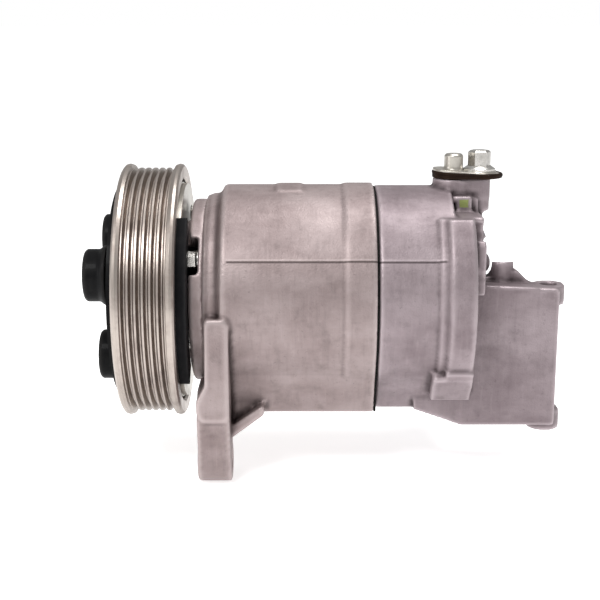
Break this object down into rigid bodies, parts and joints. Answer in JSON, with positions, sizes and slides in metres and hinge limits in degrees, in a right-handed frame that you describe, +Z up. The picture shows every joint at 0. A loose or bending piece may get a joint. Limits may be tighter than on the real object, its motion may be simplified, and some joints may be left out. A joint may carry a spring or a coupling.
{
  "type": "automotive air conditioning compressor",
  "caption": "Belt-driven scroll refrigerant compressor with an electromagnetic clutch, ribbed pulley, cast housings, mounting ear and bracket, and capped line ports.",
  "frame": {"origin": "on the shaft axis, at the middle of the pulley's belt track", "axes": "+X along the shaft from the clutch to the rear housing, +Z up, -Y towards the side with the rear bracket's flat wall"},
  "size_m": [0.2389, 0.1373, 0.1625],
  "materials": {
    "cast_front": "sand cast, satin",
    "cast_rear": "sand cast, satin",
    "machined_aluminium": "machined",
    "pulley_steel": "turned and plated",
    "bearing_steel": "ground",
    "polished_steel": "polished",
    "spring_steel": "oiled",
    "zinc_steel": "zinc plated",
    "bolt_steel": "plated",
    "black_paint": "semi-gloss black",
    "iron": "machined",
    "black_rubber": "matt",
    "brown_rubber": "matt, dark brown",
    "seal_polymer": "filled PTFE",
    "cage_polymer": "glass-filled",
    "copper_winding": "enamelled wire set in resin",
    "black_plastic": "moulded"
  },
  "bodies": {
    "housing_body": {"pulley_bearing_inner": "bearing_steel", "pulley_circlip": "spring_steel", "coil_shell": "zinc_steel", "coil_winding": "copper_winding", "coil_plate": "zinc_steel", "coil_circlip": "spring_steel", "lead_cover": "black_plastic", "front_head": "cast_front", "front_head_oring": "black_rubber", "front_bolts": "bolt_steel", "main_housing": "cast_front", "joint_gasket": "black_rubber", "rear_housing": "cast_rear", "rear_bolts": "bolt_steel", "shaft_seal": "black_rubber", "seal_circlip": "spring_steel", "needle_bearing_shell": "bearing_steel", "main_bearing_outer": "bearing_steel", "thrust_frame": "machined_aluminium", "wear_ring": "polished_steel", "anti_rotation_pins": "bearing_steel", "fixed_scroll": "machined_aluminium", "fixed_tip_seal": "seal_polymer", "fixed_scroll_oring": "black_rubber", "valve_guard": "zinc_steel", "guard_screws": "bolt_steel", "relief_cap": "cast_rear", "relief_spring": "spring_steel"},
    "pulley_body": {"pulley": "pulley_steel", "pulley_bearing_outer": "bearing_steel", "pulley_bearing_seals": "black_rubber"},
    "pulley_cage_body": {"pulley_bearing_balls": "polished_steel", "pulley_bearing_cages": "cage_polymer"},
    "shaft_body": {"shaft": "bearing_steel", "clutch_hub": "black_paint", "damper_rubbers": "black_rubber", "hub_bolt": "bolt_steel", "clutch_shim": "bearing_steel", "main_bearing_inner": "bearing_steel", "drive_bush": "bearing_steel", "counterweight": "iron", "bush_circlip": "spring_steel"},
    "main_cage_body": {"main_bearing_balls": "polished_steel", "main_bearing_cage": "cage_polymer"},
    "needle_body": {"needle_bearing_needles": "polished_steel"},
    "orbiting_body": {"orbiting_scroll": "machined_aluminium", "orbiting_tip_seal": "seal_polymer", "anti_rotation_rings": "bearing_steel", "crank_bearing_shell": "bearing_steel"},
    "crank_roller_body": {"crank_bearing_rollers": "polished_steel"},
    "armature_body": {"armature_plate": "black_paint", "damper_pins": "bolt_steel"},
    "valve_body": {"discharge_valve": "spring_steel"},
    "poppet_body": {"relief_poppet": "bearing_steel"},
    "suction_cap_body": {"suction_cover": "zinc_steel", "suction_gasket": "brown_rubber", "suction_line_bolt": "bolt_steel"},
    "discharge_cap_body": {"discharge_cover": "zinc_steel", "discharge_gasket": "brown_rubber", "discharge_line_bolt": "bolt_steel"}
  },
  "joints": [
    {"name": "pulley_spin", "type": "hinge", "parent": "housing_body", "child": "pulley_body", "pos_m": [0, 0, 0], "axis": [1, 0, 0], "continuous": true},
    {"name": "pulley_cage_spin", "type": "hinge", "parent": "housing_body", "child": "pulley_cage_body", "pos_m": [-0.002, 0, 0], "axis": [1, 0, 0], "continuous": true},
    {"name": "shaft_spin", "type": "hinge", "parent": "housing_body", "child": "shaft_body", "pos_m": [0.041, 0, 0], "axis": [1, 0, 0], "continuous": true},
    {"name": "main_cage_spin", "type": "hinge", "parent": "housing_body", "child": "main_cage_body", "pos_m": [0.041, 0, 0], "axis": [1, 0, 0], "continuous": true},
    {"name": "needle_spin", "type": "hinge", "parent": "housing_body", "child": "needle_body", "pos_m": [0.0196, 0, 0], "axis": [1, 0, 0], "continuous": true},
    {"name": "scroll_orbit", "type": "hinge", "parent": "shaft_body", "child": "orbiting_body", "pos_m": [0.0685, 0, 0.00375], "axis": [1, 0, 0], "continuous": true},
    {"name": "crank_roller_spin", "type": "hinge", "parent": "shaft_body", "child": "crank_roller_body", "pos_m": [0.0685, 0, 0.00375], "axis": [1, 0, 0], "continuous": true},
    {"name": "armature_slide", "type": "slide", "parent": "shaft_body", "child": "armature_body", "axis": [1, 0, 0], "range_m": [0, 0.0005], "stiffness_N_per_m": 30000},
    {"name": "discharge_valve_lift", "type": "slide", "parent": "housing_body", "child": "valve_body", "axis": [1, 0, 0], "range_m": [0, 0.002], "stiffness_N_per_m": 400},
    {"name": "relief_lift", "type": "slide", "parent": "housing_body", "child": "poppet_body", "axis": [1, 0, 0], "range_m": [0, 0.0012], "stiffness_N_per_m": 40000, "springref_m": -0.0004, "deforming": ["relief_spring"]},
    {"name": "suction_cap_lift", "type": "slide", "parent": "housing_body", "child": "suction_cap_body", "axis": [0, 0, 1], "range_m": [0, 0.06]},
    {"name": "discharge_cap_lift", "type": "slide", "parent": "housing_body", "child": "discharge_cap_body", "axis": [0, 1, 0], "range_m": [0, 0.06]}
  ],
  "couplings": [
    {"joint": "pulley_cage_spin", "follows": "pulley_spin", "ratio": 0.56111},
    {"joint": "main_cage_spin", "follows": "shaft_spin", "ratio": 0.39674},
    {"joint": "needle_spin", "follows": "shaft_spin", "ratio": 0.44481},
    {"joint": "scroll_orbit", "follows": "shaft_spin", "ratio": -1},
    {"joint": "crank_roller_spin", "follows": "shaft_spin", "ratio": -0.55077}
  ]
}
